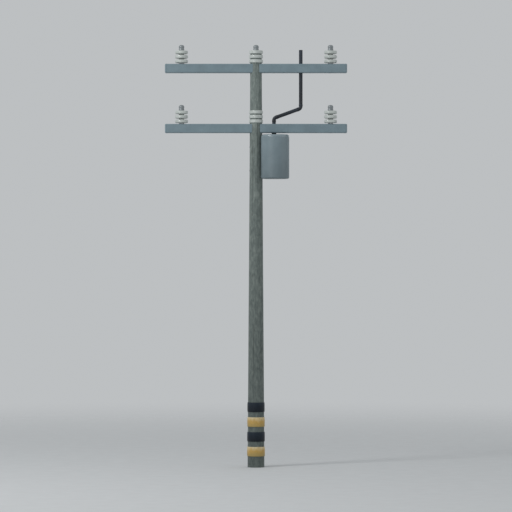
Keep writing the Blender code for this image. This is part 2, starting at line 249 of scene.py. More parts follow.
def moulded_plastic(name, tones, grime, roughness, gloss):
    """Plastic coloured through, with a moulded or extruded skin that use has scuffed.

    It gives the eye an even, soft sheen, painted lighter towards its upper edge and darker towards
    the lower one as light and shade, with patches of grime and short pale scuffs.
    """
    made, tree, place = new_material(name)
    cloud = {"Vector": place, "Scale": 9.0, "Detail": 5.0, "Roughness": 0.65, "Distortion": 0.4}
    clouds = add(tree, "TexNoise", cloud)
    # Painted light and shade: the colour is paler towards the piece's top and darker towards its foot,
    # mixed with random clouds.
    rise = add(tree, "Attribute", attribute_name="rise").outputs["Fac"]
    lit = add(tree, "Math", {0: rise, 1: 0.42, 2: 0.06}, operation="MULTIPLY_ADD")
    tone_and_light = add(tree, "Math", {0: clouds, 1: 0.46, 2: lit}, operation="MULTIPLY_ADD")
    colour = add(tree, "ValToRGB", {"Fac": tone_and_light}, list(zip((0.32, 0.5, 0.72), tones)))
    drawn = add(tree, "Mapping", {"Vector": place, "Scale": (1, 1, 0.35)})
    dirt = add(tree, "TexNoise", {"Vector": drawn, "Scale": 26.0, "Detail": 6.0, "Roughness": 0.7})
    dirt = add(tree, "ValToRGB", {"Fac": dirt}, [(0.5, 0.0), (0.74, 0.4)])
    colour = add(tree, "Mix", {"Factor": dirt, "A": colour, "B": grime}, data_type="RGBA")
    # Scuffs run round the piece, 3 mm tall and some 25 mm long.
    level = add(tree, "Mapping", {"Vector": place, "Scale": (0.12, 0.12, 1)})
    scuffs = add(tree, "TexNoise", {"Vector": level, "Scale": 340.0, "Detail": 2.0})
    scuffs = add(tree, "ValToRGB", {"Fac": scuffs}, [(0.66, 0.0), (0.7, 0.3)])
    colour = add(tree, "Mix", {"Factor": scuffs, "A": colour, "B": tones[2]}, data_type="RGBA")
    low = roughness - 0.08
    rough = add(tree, "MapRange", {"Value": clouds, "To Min": low, "To Max": roughness + 0.14})
    skin = add(tree, "TexNoise", {"Vector": place, "Scale": 190.0, "Detail": 3.0})
    bump = add(tree, "Bump", {"Strength": 0.1, "Distance": 0.001, "Height": skin})
    sheen = {"IOR": 1.5, "Specular IOR Level": gloss, "Sheen Weight": 0.1}
    return surfaced(made, colour, rough, bump, sheen)


WOOD = weathered_pine()
ARM_PAINT = coated_steel("arm_enamel", ("#6F8189", "#73868E", "#788B93"), "#66757B", 0.46)
TANK_TONES = ("#6D7C82", "#718086", "#76858B")
# Painted light and shade: the tank's colour is darkened towards its foot and lightened towards its top,
# and the lid's is lightened all over.
TANK_PAINT = coated_steel("tank_enamel", TANK_TONES, "#68767B", 0.44, 0.1, (0.82, 1.12))
LID_PAINT = coated_steel("lid_enamel", TANK_TONES, "#68767B", 0.22, 0.9, (1.12, 1.2))
PORCELAIN = glazed_porcelain()
ZINC = galvanised_steel("dulled_zinc", ("#7F8588", "#868C8F", "#8E9496"))
# Painted light: the pins' zinc is drawn near white, far paler than zinc, so that their feet in the
# shade under the discs read lit.
PIN_ZINC_PAINTED_LIGHT = galvanised_steel("pin_zinc_painted_light", ("#D0D6D8", "#D8DDDF", "#E0E5E7"))
CAP_ZINC = galvanised_steel("cap_zinc", ("#7F8588", "#868C8F", "#8E9496"), 0.3)
# Polyethylene sheet in safety colours, wrapped round the foot.
YELLOW = moulded_plastic("yellow_sleeve", ("#A38D54", "#BC984F", "#D4C29A"), "#917D50", 0.42, 0.4)
BLACK = moulded_plastic("black_sleeve", ("#10171F", "#141E29", "#1F2A35"), "#272F35", 0.45, 0.2)
# Extruded rigid vinyl conduit, and black rubber for its seals.
PIPE = moulded_plastic("riser_vinyl", ("#141A21", "#1B222B", "#2A333D"), "#2F363D", 0.42, 0.4)
RUBBER = moulded_plastic("seal_rubber", ("#101214", "#15181B", "#1F2326"), "#282C2E", 0.6, 0.3)

# ------------------------ mesh building


def middle(node):
    """The centre of a node's box."""
    low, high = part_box(node)
    return (low + high) / 2


def size(node):
    """The lengths of a node's box."""
    low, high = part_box(node)
    return high - low


def half_width(node):
    """Half the length of a node's box along X, a round piece's radius."""
    return size(node).x / 2


def full_turn(steps):
    """The angles of a circle's points."""
    return [math.tau * i / steps for i in range(steps)]


def outward_at(angle):
    """The level direction at an angle in radians from +X."""
    return Vector((math.cos(angle), math.sin(angle), 0))


def ring(radius, height, steps, place=Matrix()):
    """A circle of points about the local Z axis."""
    circle = full_turn(steps)
    return [place @ Vector((radius * math.cos(a), radius * math.sin(a), height)) for a in circle]


def arc(centre, radius, start, stop, steps=6):
    """(radius, height) points round part of a circle, between two angles in degrees."""
    angles = [math.radians(start + (stop - start) * i / steps) for i in range(steps + 1)]
    return [(centre[0] + radius * math.cos(a), centre[1] + radius * math.sin(a)) for a in angles]


def loft(shape, rings, joined=False):
    """Faces from each ring of points to the next. The ends are capped, or joined into a loop."""
    rows = [[shape.verts.new(point) for point in points] for points in rings]
    for low, high in zip(rows, rows[1:] + rows[:1] if joined else rows[1:]):
        for i in range(len(low)):
            j = (i + 1) % len(low)
            shape.faces.new((low[i], low[j], high[j], high[i]))
    if not joined:
        shape.faces.new(rows[0][::-1])
        shape.faces.new(rows[-1])
    return rows


def turned(shape, profile, steps=96, place=Matrix(), joined=False):
    """Turns (radius, height) points about the local Z axis."""
    return loft(shape, [ring(radius, height, steps, place) for radius, height in profile], joined)


def at(x, y, z=0.0):
    """A matrix that moves a piece."""
    return Matrix.Translation((x, y, z))


def facing(origin, direction, spin=0.0):
    """A matrix at origin whose local Z points along direction."""
    turn = Vector(direction).to_track_quat("Z", "Y").to_matrix().to_4x4()
    return Matrix.Translation(origin) @ turn @ Matrix.Rotation(spin, 4, "Z")


def new_mesh(name, shape):
    """Turns the bmesh into a mesh, with its faces pointing out."""
    bmesh.ops.recalc_face_normals(shape, faces=shape.faces)
    mesh = bpy.data.meshes.new(name)
    shape.to_mesh(mesh)
    shape.free()
    return mesh


def linked(name, data):
    """A new object in the scene."""
    made = bpy.data.objects.new(name, data)
    bpy.context.scene.collection.objects.link(made)
    return made


def shown(name, mesh, finish, replaced=(), sharp=38):
    """Shows a mesh as a smooth, finished piece of the object that rides on the pole.

    Its attribute "rise" is 0 at the piece's foot and 1 at its top, for the light and shade that
    materials paint by height.
    """
    mesh.shade_smooth()
    mesh.set_sharp_from_angle(angle=math.radians(sharp))
    mesh.materials.clear()
    mesh.materials.append(finish)
    heights = [vertex.co.z for vertex in mesh.vertices]
    low = min(heights)
    reach = max(heights) - low
    rise = mesh.attributes.new("rise", "FLOAT", "POINT")
    rise.data.foreach_set("value", [(z - low) / reach for z in heights])
    made = linked(name, mesh)
    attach(made, "root")
    if replaced:
        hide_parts(*replaced)


def piece(name, shape, finish, replaced=(), sharp=38):
    """Shows a bmesh as a finished piece of the object."""
    shown(name, new_mesh(name, shape), finish, replaced, sharp)


# A bolt's parts, as shares of its width across the flats.
WASHER_RADIUS = 0.66
WASHER_HEIGHT = 0.12
HEAD_HEIGHT = 0.5
HEAD_FOOT = 0.05
HEAD_CHAMFER = 0.08
STUD_RADIUS = 0.3
STUD_HEIGHT = 0.14
# What is left of a radius at an eased edge, a chamfered corner and a stud's end.
EASED = 0.96
CHAMFERED = 0.86
STUD_END = 0.8
STUD_ROOT = 0.002
STUD_BEVEL = 0.0015
BOLT_SPIN = 0.3
OUTLINE_EASING = 0.005
LEAST_CORNER = 0.003


def hex_bolt(shape, origin, direction, across, washer=True):
    """A washer, a hexagon with chamfered corners and the rounded end of its stud."""
    place = facing(origin, direction, BOLT_SPIN)
    foot = 0.0
    if washer:
        foot = across * WASHER_HEIGHT
        rim = across * WASHER_RADIUS
        turned(shape, [(rim, 0), (rim, foot * 0.7), (rim * EASED, foot)], 28, place)
    corner = across / math.sqrt(3)
    top = foot + across * HEAD_HEIGHT
    shoulder = top - across * HEAD_CHAMFER
    nut = [(corner * EASED, foot), (corner, foot + across * HEAD_FOOT), (corner, shoulder)]
    turned(shape, nut + [(corner * CHAMFERED, top)], 6, place)
    stud = across * STUD_RADIUS
    tip = top + across * STUD_HEIGHT
    end = [(stud, top - STUD_ROOT), (stud, tip - STUD_BEVEL), (stud * STUD_END, tip)]
    turned(shape, end, 16, place)


def rounded_outline(width, height, corner, inset=0):
    """Points round a rounded rectangle, close-set where its flats begin, drawn in by an inset."""
    wide = width - 2 * inset
    tall = height - 2 * inset
    corner = max(corner - inset, LEAST_CORNER)
    points = []
    for quadrant, (right, top) in enumerate(((1, 1), (-1, 1), (-1, -1), (1, -1))):
        centre = (right * (wide / 2 - corner), top * (tall / 2 - corner))
        bend = arc(centre, corner, 90 * quadrant, 90 * quadrant + 90, 8)
        turn = math.radians(90 * quadrant)
        along = Vector((-math.sin(turn), math.cos(turn)))
        across = Vector((math.cos(turn), math.sin(turn)))
        before = Vector(bend[0]) - along * OUTLINE_EASING
        after = Vector(bend[-1]) - across * OUTLINE_EASING
        points += [tuple(before), *bend, tuple(after)]
    return points


# ------------------------ the pole

POLE_COLUMNS = 200
POLE_ROWS = 300
BUTT_RADIUS = half_width("pole_shaft")
POLE_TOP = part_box("pole_shaft")[1].z
TOP_RADIUS = max(
    math.hypot(vertex.co.x, vertex.co.y)
    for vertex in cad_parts["pole_shaft"].data.vertices
    if vertex.co.z > POLE_TOP - NEAR
)
# Drying checks. Their widths and drifts count the columns of the log's mesh.
CHECK_COUNT = 30
CHECK_LENGTHS = (0.35, 2.2)
CHECK_DEPTHS = (0.0025, 0.007)
CHECK_DRIFTS = (-1.5, 1.5)
CHECK_HALF_WIDTH = 1.15
CHECK_WANDER = 0.6
KNOT_COUNT = 26
KNOT_HALF_WIDTHS = (0.014, 0.034)
KNOT_MARGIN = 0.3
KNOT_STRETCH = 1.7
KNOT_REACH = 3
KNOT_RISE = 0.0015
KNOT_TONE = 0.75
# How far the log is out of round: in long swells, and in short ripples.
SWELL = 0.0011
RIPPLE = 0.0004


def pole_radius(z):
    """The log's radius at a height, before swells and checks."""
    return BUTT_RADIUS + (TOP_RADIUS - BUTT_RADIUS) * z / POLE_TOP


def drying_checks():
    """Cracks along the grain: each one's column, foot, length, depth and drift round the pole."""
    draw = random.Random(5)
    checks = []
    for _ in range(CHECK_COUNT):
        length = draw.uniform(*CHECK_LENGTHS)
        foot = draw.uniform(0.0, POLE_TOP - length)
        depth = draw.uniform(*CHECK_DEPTHS)
        column = draw.uniform(0, POLE_COLUMNS)
        checks.append((column, foot, length, depth, draw.uniform(*CHECK_DRIFTS)))
    return checks


def knots():
    """Branch stubs: each one's direction, height and half width."""
    draw = random.Random(11)
    heights = (KNOT_MARGIN, POLE_TOP - KNOT_MARGIN)
    return [
        (draw.uniform(0, math.tau), draw.uniform(*heights), draw.uniform(*KNOT_HALF_WIDTHS))
        for _ in range(KNOT_COUNT)
    ]


def check_depth(check, column, z):
    """How deep a point lies in a crack, from 0 at its edge to 1 in its heart."""
    centre, foot, length, _, drift = check
    along = (z - foot) / length
    here = centre + drift * along + CHECK_WANDER * noise.noise(UP * z * 3)
    away = abs((column - here + POLE_COLUMNS / 2) % POLE_COLUMNS - POLE_COLUMNS / 2)
    return max(0.0, 1 - away / CHECK_HALF_WIDTH) * math.sin(math.pi * along) ** 0.5


def knot_depth(knot, angle, z):
    """How far into a knot a point lies, from 0 at its edge to 1 in its heart."""
    turn, height, wide = knot
    across = pole_radius(z) * math.remainder(angle - turn, math.tau)
    return max(0.0, 1 - math.hypot(across / wide, (z - height) / (wide * KNOT_STRETCH)))


def make_pole():
    """A tapered log: slightly out of round, with raised knots and V-shaped drying checks."""
    shape = bmesh.new()
    check_layer = shape.verts.layers.float.new("check")
    knot_layer = shape.verts.layers.float.new("knot")
    heights = [POLE_TOP * row / POLE_ROWS for row in range(POLE_ROWS + 1)]
    rows = loft(shape, [ring(pole_radius(z), z, POLE_COLUMNS) for z in heights])
    checks = drying_checks()
    stubs = knots()
    for z, row in zip(heights, rows):
        near_checks = [check for check in checks if check[1] < z < check[1] + check[2]]
        near_stubs = [stub for stub in stubs if abs(stub[1] - z) < stub[2] * KNOT_REACH]
        for column, vert in enumerate(row):
            angle = math.tau * column / POLE_COLUMNS
            out = outward_at(angle)
            swell = SWELL * noise.noise(out * 1.3 + UP * z * 0.8)
            swell += RIPPLE * noise.noise(out * 9 + UP * z * 2.0)
            for check in near_checks:
                deep = check_depth(check, column, z)
                swell -= check[3] * deep
                vert[check_layer] = max(vert[check_layer], deep)
            for stub in near_stubs:
                deep = knot_depth(stub, angle, z)
                swell += KNOT_RISE * deep
                vert[knot_layer] = max(vert[knot_layer], KNOT_TONE * deep)
            vert.co = out * (pole_radius(z) + swell) + UP * z
    piece("pole_log", shape, WOOD, ["pole_shaft"], sharp=60)


# ------------------------ marker sleeves

SLEEVE_STEPS = 160
SLEEVE_EDGE = 0.006
SLEEVE_BULGE = 0.0025
BULGE_SHARES = (0.75, 0.45, 0.15)
LAP = 0.0024
# The lap's middle and half width, as shares of a turn from the right-hand side.
LAP_TURN = 0.25
LAP_HALF_TURN = 0.022
RIVET_RADIUS = 0.006
RIVET_CROWN = 0.55
RIVET_SHARES = (-0.62, 0.0, 0.62)


def make_sleeve(name, finish):
    """A wrapped sleeve, full in the middle, whose ends lap at the back under a row of rivets."""
    node = "foot_sleeve_" + name
    low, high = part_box(node)
    centre = (low.z + high.z) / 2
    half = (high.z - low.z) / 2
    crest = high.x - SLEEVE_BULGE
    rim = arc((crest - SLEEVE_EDGE, half - SLEEVE_EDGE), SLEEVE_EDGE, 90, 0, 5)
    barrel = [(crest + SLEEVE_BULGE * (1 - t * t), half * t) for t in BULGE_SHARES]
    outside = rim + barrel
    outside += [(radius, -height) for radius, height in reversed(outside)]
    profile = [(radius, centre + height) for radius, height in outside]
    profile += [(pole_radius(low.z) + SLIP, low.z), (pole_radius(high.z) + SLIP, high.z)]
    shape = bmesh.new()
    rows = turned(shape, profile, SLEEVE_STEPS, joined=True)
    for row in rows[:-2]:
        lean = pole_radius(row[0].co.z) - pole_radius(low.z)
        for i, vert in enumerate(row):
            lapped = abs(i / SLEEVE_STEPS - LAP_TURN) < LAP_HALF_TURN
            out = Vector((vert.co.x, vert.co.y, 0)).normalized()
            vert.co += out * (lean + (LAP if lapped else 0.0))
    piece("sleeve_" + name, shape, finish, [node])
    make_sleeve_rivets(name, low, high)


def make_sleeve_rivets(name, low, high):
    """Three domed rivets up a sleeve's lap."""
    rivets = bmesh.new()
    curve = arc((0, 0), RIVET_RADIUS, 8, 80, 5)
    dome = [(radius, height * RIVET_CROWN) for radius, height in curve]
    wall = high.x - pole_radius(low.z) + LAP
    for share in RIVET_SHARES:
        z = (low.z + high.z) / 2 + (high.z - low.z) / 2 * share
        foot = (0, pole_radius(z) + wall - DEEP_SINK, z)
        turned(rivets, dome, 16, facing(foot, BACK))
    piece("sleeve_rivets_" + name, rivets, ZINC)


# ------------------------ crossarms

ARM_CORNER = 0.022
ARM_WALL = 0.006
# Rings of the beam's mesh, outwards from the pole.
ARM_STATIONS = (0.16, 0.5, 0.9, 1.3)
COPE_GAP = 0.003
END_ROUNDING = 0.020
HOLE_GAP = 0.0055
HOLE_REACH = 0.2
WELD_BEAD = 0.0026
WELD_STEP = 0.0035
WELD_SIDES = 8
WELD_RIPPLE = 0.22
RIPPLE_TURN = 1.9


def make_beam(level, side):
    """Half an arm: a hollow beam whose inner end is coped to hug the pole."""
    node = f"{level}_arm_{side}"
    low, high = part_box(node)
    sign = SIDES[side]
    centre = (low.z + high.z) / 2
    tip = max(abs(low.x), abs(high.x))
    depth = high.y - low.y
    height = high.z - low.z
    outside = rounded_outline(depth, height, ARM_CORNER)
    inside = rounded_outline(depth, height, ARM_CORNER, ARM_WALL)

    def coped(points):
        """The outline at the inner end, where each point stops short of the round pole."""
        gaps = [pole_radius(centre + z) + COPE_GAP for _, z in points]
        spans = [math.sqrt(gap * gap - y * y) for gap, (y, _) in zip(gaps, points)]
        return [(sign * span, y, centre + z) for span, (y, z) in zip(spans, points)]

    def square(points, x):
        """The outline at x, square to the beam."""
        return [(sign * x, y, centre + z) for y, z in points]

    stations = [*ARM_STATIONS, tip]
    rings = [coped(outside)] + [square(outside, x) for x in stations]
    rings += [square(inside, x) for x in reversed(stations)] + [coped(inside)]
    shape = bmesh.new()
    loft(shape, rings, joined=True)
    mesh = new_mesh("beam", shape)
    if side == "right":
        pipe = "riser_lower_run" if level == "lower" else "riser_upper_run"
        mesh = bored(mesh, middle(pipe).x, centre, half_width(pipe) + HOLE_GAP)
    shown(f"beam_{level}_{side}", mesh, ARM_PAINT, [node], sharp=50)


def bored(mesh, x, z, radius):
    """The mesh with an upright hole cut through it at x."""
    shape = bmesh.new()
    turned(shape, [(radius, -HOLE_REACH), (radius, HOLE_REACH)], 64, at(x, 0, z))
    tool = linked("hole", new_mesh("hole", shape))
    blank = linked("blank", mesh)
    cut = blank.modifiers.new("hole", "BOOLEAN")
    cut.object = tool
    view = bpy.context.evaluated_depsgraph_get()
    result = bpy.data.meshes.new_from_object(blank.evaluated_get(view))
    for made in (tool, blank):
        bpy.data.objects.remove(made)
    return result


def make_end_plate(level, side):
    """The plate over a beam's outer end, with a rounded rim and a rippled weld bead behind it."""
    node = f"{level}_arm_{side}_cap"
    low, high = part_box(node)
    sign = SIDES[side]
    tip = max(abs(low.x), abs(high.x))
    foot = min(abs(low.x), abs(high.x))
    centre = (low.z + high.z) / 2
    rim = arc((END_ROUNDING, tip - END_ROUNDING), END_ROUNDING, 180, 90, 8)
    rings = []
    for inset, x in [(0, foot), *rim]:
        outline = rounded_outline(high.y - low.y, high.z - low.z, ARM_CORNER, inset)
        rings.append([Vector((sign * x, y, centre + z)) for y, z in outline])
    shape = bmesh.new()
    loft(shape, rings)
    piece(f"end_plate_{level}_{side}", shape, ARM_PAINT, [node], sharp=50)
    weld(f"weld_{level}_{side}", rings[0])


def weld(name, outline):
    """A rippled bead along a closed outline that lies square to X."""
    route = []
    for here, there in zip(outline, outline[1:] + outline[:1]):
        steps = max(1, round((there - here).length / WELD_STEP))
        route += [here.lerp(there, i / steps) for i in range(steps)]
    outward = Vector((1, 0, 0))
    rings = []
    for i, here in enumerate(route):
        along = (route[(i + 1) % len(route)] - route[i - 1]).normalized()
        across = along.cross(outward)
        bead = WELD_BEAD * (1 + WELD_RIPPLE * math.sin(i * RIPPLE_TURN))
        circle = full_turn(WELD_SIDES)
        rings.append([here + bead * (across * math.cos(a) + outward * math.sin(a)) for a in circle])
    shape = bmesh.new()
    loft(shape, rings, joined=True)
    piece(name, shape, ARM_PAINT, sharp=180)


COVER_X = 0.300
COVER_WIDTH = 0.200
COVER_HEIGHT = 0.104
COVER_THICKNESS = 0.0035
COVER_CORNER = 0.020
COVER_EDGE = 0.0012
COVER_BOLT = 0.013


def make_access_cover(level, side):
    """A cover plate with four bolts on the arm's back, over the hole that reaches its tie bolts."""
    low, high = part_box(f"{level}_arm_{side}")
    sign = SIDES[side]
    place = facing((sign * COVER_X, high.y, (low.z + high.z) / 2), BACK)
    plan = ((0, -SINK), (0, COVER_THICKNESS - COVER_EDGE), (COVER_EDGE, COVER_THICKNESS))
    rings = []
    for inset, height in plan:
        outline = rounded_outline(COVER_WIDTH, COVER_HEIGHT, COVER_CORNER, inset)
        rings.append([place @ Vector((u, v, height)) for u, v in outline])
    shape = bmesh.new()
    loft(shape, rings)
    piece(f"access_cover_{level}_{side}", shape, ARM_PAINT)
    bolts = bmesh.new()
    for u in (-1, 1):
        for v in (-1, 1):
            across = u * (COVER_WIDTH / 2 - COVER_CORNER)
            up = v * (COVER_HEIGHT / 2 - COVER_CORNER)
            hex_bolt(bolts, place @ Vector((across, up, COVER_THICKNESS)), BACK, COVER_BOLT)
    piece(f"cover_bolts_{level}_{side}", bolts, ZINC)


PLUG_RADIUS = 0.030
PLUG_DEPTH = 0.0018
PLUG_EDGE = 0.6
# The pressed dish in the plug, as shares of its radius and depth.
DISH_RIM = 0.62
DISH_FLOOR = 0.56
DISH_DEPTH = 0.3


def make_arm_plug(level, side):
    """A pressed plug in the arm's underside, over the nut of the insulator's stud."""
    x = middle(f"insulator_{level}_{side}").x
    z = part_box(f"{level}_arm_{side}")[0].z
    edge = PLUG_DEPTH * PLUG_EDGE
    profile = [(PLUG_RADIUS, -SINK), (PLUG_RADIUS, PLUG_DEPTH - edge)]
    profile += [(PLUG_RADIUS - edge, PLUG_DEPTH), (PLUG_RADIUS * DISH_RIM, PLUG_DEPTH)]
    profile.append((PLUG_RADIUS * DISH_FLOOR, PLUG_DEPTH * DISH_DEPTH))
    profile.append((PLUG_RADIUS * 0.1, PLUG_DEPTH * DISH_DEPTH))
    shape = bmesh.new()
    turned(shape, profile, 48, facing((x, 0, z), -UP))
    piece(f"arm_plug_{level}_{side}", shape, RUBBER)


# ------------------------ insulators and collars

DISC_THICKNESS = size("upper_collar_1").z
DISC_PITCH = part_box("upper_collar_2")[0].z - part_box("upper_collar_1")[0].z
DISC_COUNT = 3
DISC_EDGE = 0.020
DISC_LIP = 0.8
DISC_SLOPE = 0.003
DISC_ROOT = 0.004
RIB_SHARES = (0.72, 0.42)
RIB_DEPTH = 0.010
# A rib's outer side, its rounded tip's middle and radius, and its inner side.
RIB_OUTSIDE = 0.006
RIB_TIP = (0.003, 0.0045)
RIB_ROUNDING = 0.004
RIB_INSIDE = 0.009
# Between the discs, the painted shade fades out at this share of their radius.
SHADE_END_SHARE = 0.75
FLANGE_HEIGHT = 0.007
FLANGE_EDGE = 0.002
SPANNER_TURN = 0.4
SPANNER_CHAMFER = 0.004
# The hexagon's top and the stem inside it, as shares of the porcelain's core.
SPANNER_TOP = 0.98
STEM_SHARE = 0.9
CAP_ROUNDING = 0.042
CAP_FOOT = 0.002
# The cap's waist: how deep it is, and where it begins, reaches its floor and ends.
WAIST_DEPTH = 0.004
WAIST_HEIGHTS = (0.026, 0.032, 0.050, 0.058)
COLLAR_EDGE = 0.012
CROWN_GAP = 0.0003


def disc_profile(core, rim, bottom):
    """A disc from its sloped top to its underside, where two ribs make the rain drip off."""
    top = bottom + DISC_THICKNESS
    points = [(core + DISC_ROOT, top)]
    points += arc((rim - DISC_EDGE, top - DISC_SLOPE - DISC_EDGE), DISC_EDGE, 84, 0)
    lip = DISC_EDGE * DISC_LIP
    points += arc((rim - lip, bottom + lip), lip, 0, -90)
    for share in RIB_SHARES:
        rib = core + (rim - core) * share
        points.append((rib + RIB_OUTSIDE, bottom + RIB_DEPTH - BEVEL))
        points += arc((rib - RIB_TIP[0], bottom + RIB_TIP[1]), RIB_ROUNDING, -10, -170, 4)
        points.append((rib - RIB_INSIDE, bottom + RIB_DEPTH))
    points.append((core + DISC_ROOT, bottom + DISC_ROOT))
    return points


def core_radius(node, x):
    """The radius of the core between a node's discs."""
    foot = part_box(node)[0].z
    gap = foot + (DISC_THICKNESS + DISC_PITCH) / 2
    reaches = [
        (abs(vertex.co.z - gap), math.hypot(vertex.co.x - x, vertex.co.y))
        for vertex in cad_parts[node].data.vertices
        if math.hypot(vertex.co.x - x, vertex.co.y) > 0.01
    ]
    nearest = min(away for away, _ in reaches)
    return min(reach for away, reach in reaches if away < nearest + NEAR)


def make_insulator(level, side):
    """The porcelain of a post insulator: three discs on a core, turned in one piece."""
    tail = f"{level}_{side}"
    node = "insulator_" + tail
    x = middle(node).x
    low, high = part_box(node)
    rim = half_width(node)
    core = core_radius(node, x)
    profile = [(core * 0.4, high.z)]
    for i in reversed(range(DISC_COUNT)):
        bottom = low.z + i * DISC_PITCH
        profile += disc_profile(core, rim, bottom)
        profile.append((core, bottom + BEVEL))
    shape = bmesh.new()
    gap_shade = shape.verts.layers.float.new("gap_shade")
    # Painted shade between the discs: full at the core, gone at the share of the rim set above.
    shade_end = rim * SHADE_END_SHARE
    for (radius, _), row in zip(profile, turned(shape, profile, 96, at(x, 0))):
        for vert in row:
            vert[gap_shade] = max(0.0, (shade_end - radius) / (shade_end - core))
    piece("porcelain_" + tail, shape, PORCELAIN, [node])
    make_base("insulator_base_" + tail, core)
    make_cap("pin_cap_" + tail, "insulator_knob_" + tail)


def make_base(node, core):
    """The steel foot of an insulator: a round flange and a hexagon that takes a spanner."""
    low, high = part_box(node)
    x = middle(node).x
    flange = half_width(node)
    top = low.z + FLANGE_HEIGHT
    shape = bmesh.new()
    rim = arc((flange - FLANGE_EDGE, top - FLANGE_EDGE), FLANGE_EDGE, 0, 90, 3)
    turned(shape, [(flange, low.z), *rim, (core * 0.5, top)], 64, at(x, 0))
    foot = top - SINK
    corner = flange - BEVEL
    hexagon = [(corner, foot), (corner, high.z - SPANNER_CHAMFER), (core * SPANNER_TOP, high.z - BEVEL)]
    turned(shape, hexagon, 6, at(x, 0) @ Matrix.Rotation(SPANNER_TURN, 4, "Z"))
    stem = core * STEM_SHARE
    turned(shape, [(stem, foot), (stem, high.z)], 64, at(x, 0))
    piece(node.replace("insulator", "pin"), shape, PIN_ZINC_PAINTED_LIGHT, [node])


def make_cap(name, node):
    """The metal cap on an insulator: a waist for the tie wire, under a rounded top."""
    low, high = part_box(node)
    wide = half_width(node)
    waist = wide - WAIST_DEPTH
    radii = (wide, waist, waist, wide)
    profile = [(wide - CAP_FOOT, low.z), (wide, low.z + CAP_FOOT)]
    profile += [(radius, low.z + height) for radius, height in zip(radii, WAIST_HEIGHTS)]
    profile += arc((wide - CAP_ROUNDING, high.z - CAP_ROUNDING), CAP_ROUNDING, 0, 90, 12)
    profile.append((wide * 0.06, high.z))
    shape = bmesh.new()
    turned(shape, profile, 72, at(middle(node).x, 0))
    piece(name, shape, CAP_ZINC, [node])


def make_collar(node, name):
    """A glazed disc threaded on the pole, or the closed one that covers its top."""
    low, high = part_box(node)
    rim = half_width(node)
    bore_low = pole_radius(low.z) + SLIP
    edge = min(COLLAR_EDGE, (rim - bore_low) * 0.7)
    profile = arc((rim - edge, high.z - edge), edge, 88, 0)
    profile += arc((rim - edge, low.z + edge), edge, 0, -88)
    profile.append((bore_low, low.z))
    shape = bmesh.new()
    gap_shade = shape.verts.layers.float.new("gap_shade")
    if node == "pole_cap_disc":
        ceiling = POLE_TOP + CROWN_GAP
        top = [(rim * 0.1, high.z), (rim * 0.5, high.z)]
        turned(shape, top + profile + [(bore_low, ceiling), (rim * 0.1, ceiling)], 128)
    else:
        profile.append((pole_radius(high.z) + SLIP, high.z))
        rows = turned(shape, profile, 128, joined=True)
        # Painted shade on the rows at the bore, where the collar meets the pole.
        for vert in rows[-1] + rows[-2]:
            vert[gap_shade] = 1.0
    piece(name, shape, PORCELAIN, [node])


# ------------------------ the transformer

TANK_STEPS = 160
TANK_BEND = 0.030
LID_BEND = 0.040
TANK_FOOT = 0.006
# The foot ring's inner wall, its edge and its flat, measured inwards from the bend.
FOOT_RING = (0.020, 0.016, 0.006)
GLAND_GAP = 0.001
GLAND_WAIST = 0.003
# Where the gland's waist begins, reaches its floor, leaves it and ends.
GLAND_HEIGHTS = (0.011, 0.014, 0.018, 0.021)
GLAND_ROLL = 0.006
BOSS_SHARE = 0.85
BOSS_HEIGHT = 0.007
PAD_STEPS = 8
PAD_THICKNESS = 0.005
CAN_PAD_WIDTH = 0.10
CAN_PAD_MARGIN = 0.02
POLE_PAD_WIDTH = 0.05
POLE_PAD_HALF = 0.026
HANGER_BOLT = 0.022


def make_tank():
    """The can: a rolled shell on a foot ring."""
    low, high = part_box("transformer_tank")
    centre = middle("transformer_tank")
    radius = half_width("transformer_tank")
    inner = radius - TANK_BEND
    wall, edge, flat = (inner - inset for inset in FOOT_RING)
    profile = [(radius * 0.2, low.z + TANK_FOOT), (wall, low.z + TANK_FOOT)]
    profile += [(edge, low.z + BEVEL), (flat, low.z)]
    profile += arc((inner, low.z + TANK_BEND), TANK_BEND, -85, 0, 10)
    profile += [(radius, (low.z + high.z) / 2), (radius, high.z - BEVEL)]
    profile += [(radius - BEVEL, high.z), (radius * 0.9, high.z)]
    shape = bmesh.new()
    turned(shape, profile, TANK_STEPS, at(centre.x, centre.y))
    piece("tank_shell", shape, TANK_PAINT, ["transformer_tank"])


def make_lid():
    """The can's pressed lid."""
    low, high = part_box("transformer_lid")
    centre = middle("transformer_lid")
    radius = half_width("transformer_lid")
    profile = [(radius * 0.9, low.z), (radius - BEVEL, low.z), (radius, low.z + BEVEL)]
    profile += arc((radius - LID_BEND, high.z - LID_BEND), LID_BEND, 0, 90, 14)
    profile += [(radius * 0.5, high.z), (radius * 0.1, high.z)]
    shape = bmesh.new()
    turned(shape, profile, TANK_STEPS, at(centre.x, centre.y))
    piece("tank_lid", shape, LID_PAINT, ["transformer_lid"])


def make_gland():
    """The rubber gland that seals the riser to the lid: a flange, a waist and a rolled top."""
    low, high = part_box("riser_bushing")
    wide = half_width("riser_bushing")
    waist = wide - GLAND_WAIST
    bore = half_width("riser_lower_run") + GLAND_GAP
    radii = (wide, waist, waist, wide)
    profile = [(bore, low.z), (wide, low.z)]
    profile += [(radius, low.z + height) for radius, height in zip(radii, GLAND_HEIGHTS)]
    profile += arc((wide - GLAND_ROLL, high.z - GLAND_ROLL), GLAND_ROLL, 0, 90, 5)
    profile.append((bore, high.z))
    shape = bmesh.new()
    centre = middle("riser_bushing")
    turned(shape, profile, 72, at(centre.x, centre.y), joined=True)
    piece("riser_gland", shape, RUBBER, ["riser_bushing"])


